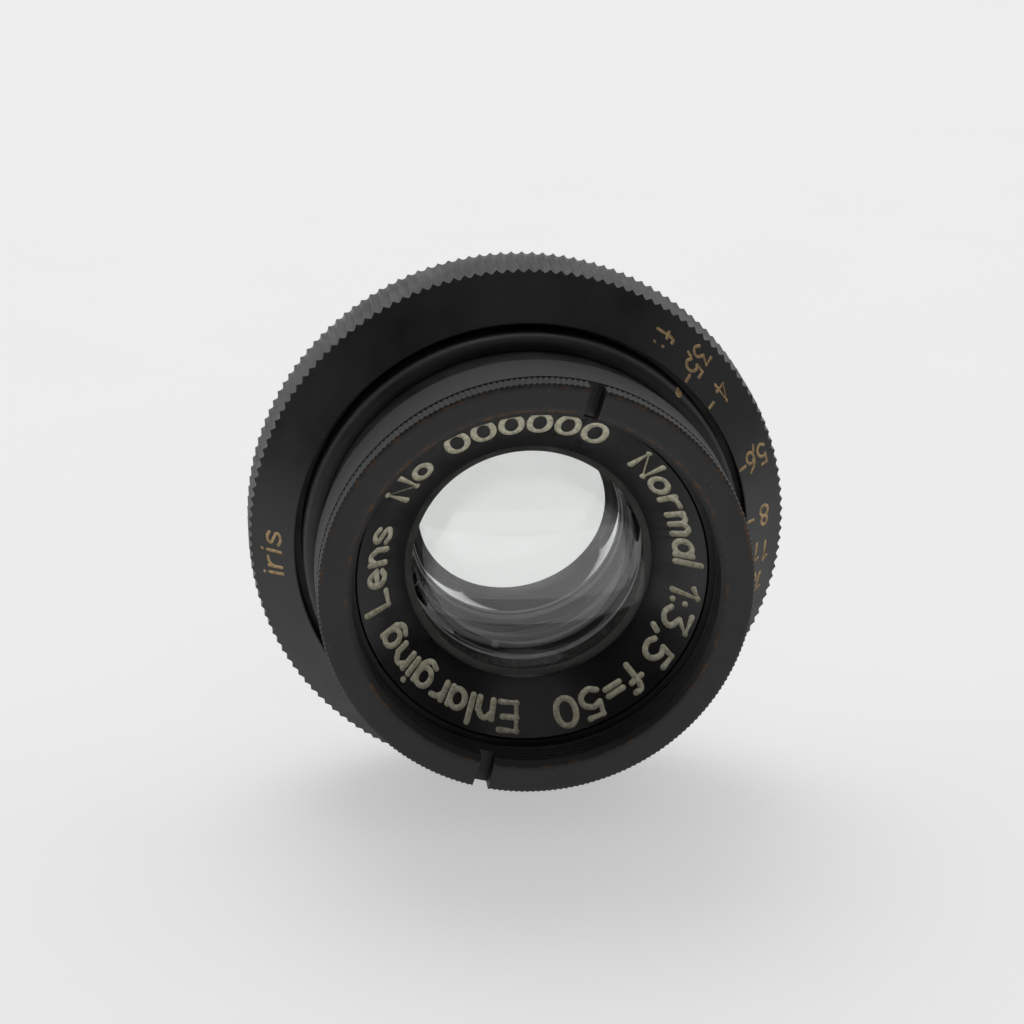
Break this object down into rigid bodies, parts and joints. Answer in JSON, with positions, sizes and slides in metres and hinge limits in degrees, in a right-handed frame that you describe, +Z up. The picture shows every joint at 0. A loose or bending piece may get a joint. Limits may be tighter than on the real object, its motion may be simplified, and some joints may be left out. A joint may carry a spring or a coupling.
{
  "type": "enlarger lens",
  "caption": "Short photographic enlarger lens with a knurled aperture ring, conical engraved front ring, working iris and a screw mount behind a flat seat.",
  "frame": {"origin": "centre of the flat mount seat, on the optical axis", "axes": "+Y along the optical axis towards the rear, so that the front of the lens faces -Y; +Z up, with the index mark above the axis"},
  "size_m": [0.036, 0.0225, 0.036],
  "materials": {
    "rim_black": "black lacquer on brass, satin, worn to brass at the rim's edges",
    "name_black": "black lacquer, satin, with cream-filled engraving",
    "barrel_black": "black lacquer on brass, semi-gloss",
    "collar_black": "black lacquer, semi-gloss, with a gold index mark",
    "ring_black": "black lacquer on brass, satin, knurl crests worn bright, with gold-filled engraving",
    "matt_black_brass": "chemically blackened, matt",
    "bronze": "plain sprung bronze",
    "screw_steel": "plain turned steel",
    "blued_steel": "blued, matt",
    "lens_glass": "polished, with a single faint coating"
  },
  "bodies": {
    "lens": {"front_cell": "rim_black", "name_ring": "name_black", "front_element": "lens_glass", "middle_element": "lens_glass", "middle_retaining_ring": "matt_black_brass", "main_barrel": "barrel_black", "index_collar": "collar_black", "friction_washer": "bronze", "iris_retaining_ring": "matt_black_brass", "iris_base": "matt_black_brass", "rear_cell": "barrel_black", "rear_flint": "lens_glass", "rear_crown": "lens_glass", "rear_retaining_ring": "matt_black_brass"},
    "aperture_control": {"aperture_ring": "ring_black", "drive_screw": "screw_steel", "cam_ring": "matt_black_brass"},
    "leaf_1": {"iris_leaf_01": "blued_steel"},
    "leaf_2": {"iris_leaf_02": "blued_steel"},
    "leaf_3": {"iris_leaf_03": "blued_steel"},
    "leaf_4": {"iris_leaf_04": "blued_steel"},
    "leaf_5": {"iris_leaf_05": "blued_steel"},
    "leaf_6": {"iris_leaf_06": "blued_steel"},
    "leaf_7": {"iris_leaf_07": "blued_steel"},
    "leaf_8": {"iris_leaf_08": "blued_steel"}
  },
  "joints": [
    {"name": "aperture_turn", "type": "hinge", "parent": "lens", "child": "aperture_control", "pos_m": [0, 0, 0], "axis": [0, -1, 0], "range_deg": [0, 59]},
    {"name": "leaf_1_swing", "type": "hinge", "parent": "lens", "child": "leaf_1", "pos_m": [0.0097, 0, 0], "axis": [0, -1, 0], "range_deg": [0, 32.75]},
    {"name": "leaf_2_swing", "type": "hinge", "parent": "lens", "child": "leaf_2", "pos_m": [0.00686, 0, 0.00686], "axis": [0, -1, 0], "range_deg": [0, 32.75]},
    {"name": "leaf_3_swing", "type": "hinge", "parent": "lens", "child": "leaf_3", "pos_m": [0, 0, 0.0097], "axis": [0, -1, 0], "range_deg": [0, 32.75]},
    {"name": "leaf_4_swing", "type": "hinge", "parent": "lens", "child": "leaf_4", "pos_m": [-0.00686, 0, 0.00686], "axis": [0, -1, 0], "range_deg": [0, 32.75]},
    {"name": "leaf_5_swing", "type": "hinge", "parent": "lens", "child": "leaf_5", "pos_m": [-0.0097, 0, 0], "axis": [0, -1, 0], "range_deg": [0, 32.75]},
    {"name": "leaf_6_swing", "type": "hinge", "parent": "lens", "child": "leaf_6", "pos_m": [-0.00686, 0, -0.00686], "axis": [0, -1, 0], "range_deg": [0, 32.75]},
    {"name": "leaf_7_swing", "type": "hinge", "parent": "lens", "child": "leaf_7", "pos_m": [0, 0, -0.0097], "axis": [0, -1, 0], "range_deg": [0, 32.75]},
    {"name": "leaf_8_swing", "type": "hinge", "parent": "lens", "child": "leaf_8", "pos_m": [0.00686, 0, -0.00686], "axis": [0, -1, 0], "range_deg": [0, 32.75]}
  ],
  "couplings": [
    {"joint": "leaf_1_swing", "follows": "aperture_turn", "ratio": 0.55503},
    {"joint": "leaf_2_swing", "follows": "aperture_turn", "ratio": 0.55503},
    {"joint": "leaf_3_swing", "follows": "aperture_turn", "ratio": 0.55503},
    {"joint": "leaf_4_swing", "follows": "aperture_turn", "ratio": 0.55503},
    {"joint": "leaf_5_swing", "follows": "aperture_turn", "ratio": 0.55503},
    {"joint": "leaf_6_swing", "follows": "aperture_turn", "ratio": 0.55503},
    {"joint": "leaf_7_swing", "follows": "aperture_turn", "ratio": 0.55503},
    {"joint": "leaf_8_swing", "follows": "aperture_turn", "ratio": 0.55503}
  ]
}
